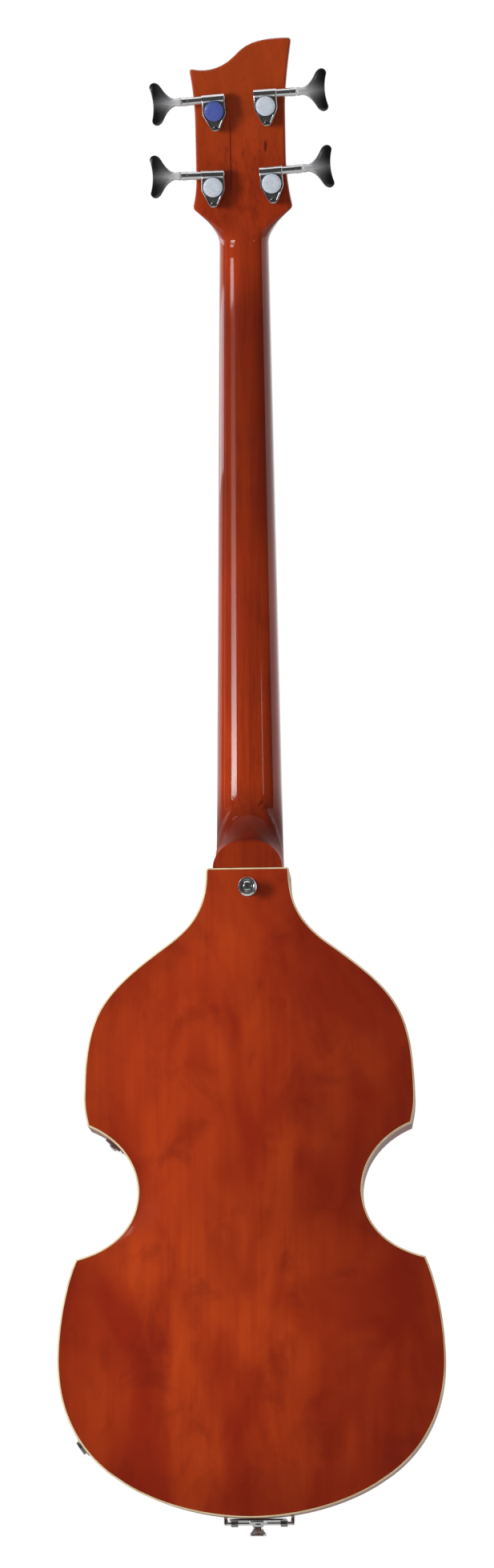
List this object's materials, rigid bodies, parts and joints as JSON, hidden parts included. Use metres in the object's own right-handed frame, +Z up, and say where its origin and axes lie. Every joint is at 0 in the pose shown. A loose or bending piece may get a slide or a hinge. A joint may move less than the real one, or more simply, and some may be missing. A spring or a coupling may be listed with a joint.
{
  "type": "violin bass guitar",
  "caption": "Hollow violin-shaped electric bass with arched plates, bound edge, set neck, worm-drive tuners, pickups, floating bridge and trapeze tailpiece.",
  "frame": {"origin": "where the nut line crosses the centre of the neck's top plane, under the headstock flare that a hanger holds", "axes": "+Z up towards the headstock, +Y out of the back, +X to the treble side"},
  "size_m": [0.276, 0.1102, 1.0918],
  "materials": {
    "amber_lacquer": "gloss translucent amber lacquer over maple",
    "rib_maple": "gloss clear lacquer over maple",
    "ivory_binding": "gloss ivory",
    "bare_spruce": "unfinished",
    "rosewood": "oiled",
    "truss_steel": "plain steel",
    "string_nickel": "flat-wound steel",
    "black_plastic": "gloss black",
    "pickup_chrome": "polished chrome",
    "pearl_plastic": "gloss pearl",
    "brass": "turned",
    "pot_steel": "plated steel",
    "chrome": "polished chrome",
    "cap_steel": "pale polished cap",
    "cap_blue_film": "cap under a blue protective film"
  },
  "bodies": {
    "root": {"neck": "amber_lacquer", "fretboard": "rosewood", "nut": "ivory_binding", "truss_rod": "truss_steel", "truss_rod_cover": "black_plastic", "back_plate": "amber_lacquer", "top_plate": "amber_lacquer", "rim": "rib_maple", "back_binding": "ivory_binding", "top_binding": "ivory_binding", "neck_block": "bare_spruce", "tail_block": "bare_spruce", "bridge_base": "rosewood", "tailpiece_bracket": "chrome", "tailpiece": "chrome", "tail_strap_button": "chrome", "heel_strap_button": "chrome", "neck_pickup": "pickup_chrome", "neck_pickup_ring": "black_plastic", "bridge_pickup": "pickup_chrome", "bridge_pickup_ring": "black_plastic", "control_plate": "pearl_plastic", "volume_pot_neck": "pot_steel", "volume_pot_bridge": "pot_steel", "pickguard": "pearl_plastic", "pickguard_bracket": "chrome", "output_jack": "chrome", "string_e": "string_nickel", "string_a": "string_nickel", "string_d": "string_nickel", "string_g": "string_nickel", "tuner_housing_e": "chrome", "tuner_housing_a": "chrome", "tuner_housing_d": "chrome", "tuner_housing_g": "chrome", "tuner_cap_e": "cap_steel", "tuner_cap_a": "cap_steel", "tuner_cap_d": "cap_blue_film", "tuner_cap_g": "cap_steel", "tuner_ferrule_e": "chrome", "tuner_ferrule_a": "chrome", "tuner_ferrule_d": "chrome", "tuner_ferrule_g": "chrome"},
    "bridge_saddle": {"bridge_saddle": "rosewood"},
    "thumbwheel_bass": {"bridge_thumbwheel_bass": "brass"},
    "thumbwheel_treble": {"bridge_thumbwheel_treble": "brass"},
    "volume_knob_neck": {"volume_knob_neck": "pearl_plastic"},
    "volume_knob_bridge": {"volume_knob_bridge": "pearl_plastic"},
    "switch_slider_treble": {"switch_slider_treble": "black_plastic"},
    "switch_slider_bass": {"switch_slider_bass": "black_plastic"},
    "switch_slider_solo": {"switch_slider_solo": "black_plastic"},
    "tuner_button_e": {"tuner_button_e": "chrome"},
    "tuner_post_e": {"tuner_post_e": "chrome"},
    "tuner_button_a": {"tuner_button_a": "chrome"},
    "tuner_post_a": {"tuner_post_a": "chrome"},
    "tuner_button_d": {"tuner_button_d": "chrome"},
    "tuner_post_d": {"tuner_post_d": "chrome"},
    "tuner_button_g": {"tuner_button_g": "chrome"},
    "tuner_post_g": {"tuner_post_g": "chrome"}
  },
  "joints": [
    {"name": "bridge_height", "type": "slide", "parent": "root", "child": "bridge_saddle", "axis": [0, 1, 0], "range_m": [0, 0.001]},
    {"name": "thumbwheel_bass_turn", "type": "hinge", "parent": "bridge_saddle", "child": "thumbwheel_bass", "pos_m": [-0.028, -0.03714, -0.77297], "axis": [0, 1, 0], "range_deg": [0, 514.2]},
    {"name": "thumbwheel_treble_turn", "type": "hinge", "parent": "bridge_saddle", "child": "thumbwheel_treble", "pos_m": [0.028, -0.03714, -0.77297], "axis": [0, 1, 0], "range_deg": [0, 514.2]},
    {"name": "volume_knob_neck_turn", "type": "hinge", "parent": "root", "child": "volume_knob_neck", "pos_m": [0.08715, -0.02426, -0.79563], "axis": [0.0819, -0.9959, -0.0378], "range_deg": [-140, 140]},
    {"name": "volume_knob_bridge_turn", "type": "hinge", "parent": "root", "child": "volume_knob_bridge", "pos_m": [0.06892, -0.02249, -0.8817], "axis": [0.0819, -0.9959, -0.0378], "range_deg": [-140, 140]},
    {"name": "switch_treble_slide", "type": "slide", "parent": "root", "child": "switch_slider_treble", "axis": [0.2072, -0.0201, 0.9781], "range_m": [0, 0.004]},
    {"name": "switch_bass_slide", "type": "slide", "parent": "root", "child": "switch_slider_bass", "axis": [0.2072, -0.0201, 0.9781], "range_m": [0, 0.004]},
    {"name": "switch_solo_slide", "type": "slide", "parent": "root", "child": "switch_slider_solo", "axis": [0.2072, -0.0201, 0.9781], "range_m": [0, 0.004]},
    {"name": "tuner_button_e_turn", "type": "hinge", "parent": "root", "child": "tuner_button_e", "pos_m": [-0.02127, 0.03347, 0.05006], "axis": [-0.9976, 0.0192, 0.0671], "continuous": true},
    {"name": "tuner_post_e_turn", "type": "hinge", "parent": "root", "child": "tuner_post_e", "pos_m": [-0.0219, 0.02619, 0.04281], "axis": [0, 0.9613, -0.2756], "continuous": true},
    {"name": "tuner_button_a_turn", "type": "hinge", "parent": "root", "child": "tuner_button_a", "pos_m": [-0.01793, 0.04913, 0.10467], "axis": [-0.9986, 0.0144, 0.0503], "continuous": true},
    {"name": "tuner_post_a_turn", "type": "hinge", "parent": "root", "child": "tuner_post_a", "pos_m": [-0.0184, 0.04185, 0.09741], "axis": [0, 0.9613, -0.2756], "continuous": true},
    {"name": "tuner_button_d_turn", "type": "hinge", "parent": "root", "child": "tuner_button_d", "pos_m": [0.02013, 0.04822, 0.10149], "axis": [0.9976, -0.0192, -0.0671], "continuous": true},
    {"name": "tuner_post_d_turn", "type": "hinge", "parent": "root", "child": "tuner_post_d", "pos_m": [0.0195, 0.04094, 0.09424], "axis": [0, 0.9613, -0.2756], "continuous": true},
    {"name": "tuner_button_g_turn", "type": "hinge", "parent": "root", "child": "tuner_button_g", "pos_m": [0.02143, 0.0329, 0.04806], "axis": [0.9999, -0.0038, -0.0134], "continuous": true},
    {"name": "tuner_post_g_turn", "type": "hinge", "parent": "root", "child": "tuner_post_g", "pos_m": [0.0213, 0.02561, 0.04079], "axis": [0, 0.9613, -0.2756], "continuous": true}
  ],
  "couplings": [
    {"joint": "thumbwheel_bass_turn", "follows": "bridge_height", "rad_per_m": 8976},
    {"joint": "thumbwheel_treble_turn", "follows": "bridge_height", "rad_per_m": 8976},
    {"joint": "tuner_post_e_turn", "follows": "tuner_button_e_turn", "ratio": -0.05},
    {"joint": "tuner_post_a_turn", "follows": "tuner_button_a_turn", "ratio": -0.05},
    {"joint": "tuner_post_d_turn", "follows": "tuner_button_d_turn", "ratio": -0.05},
    {"joint": "tuner_post_g_turn", "follows": "tuner_button_g_turn", "ratio": -0.05}
  ]
}
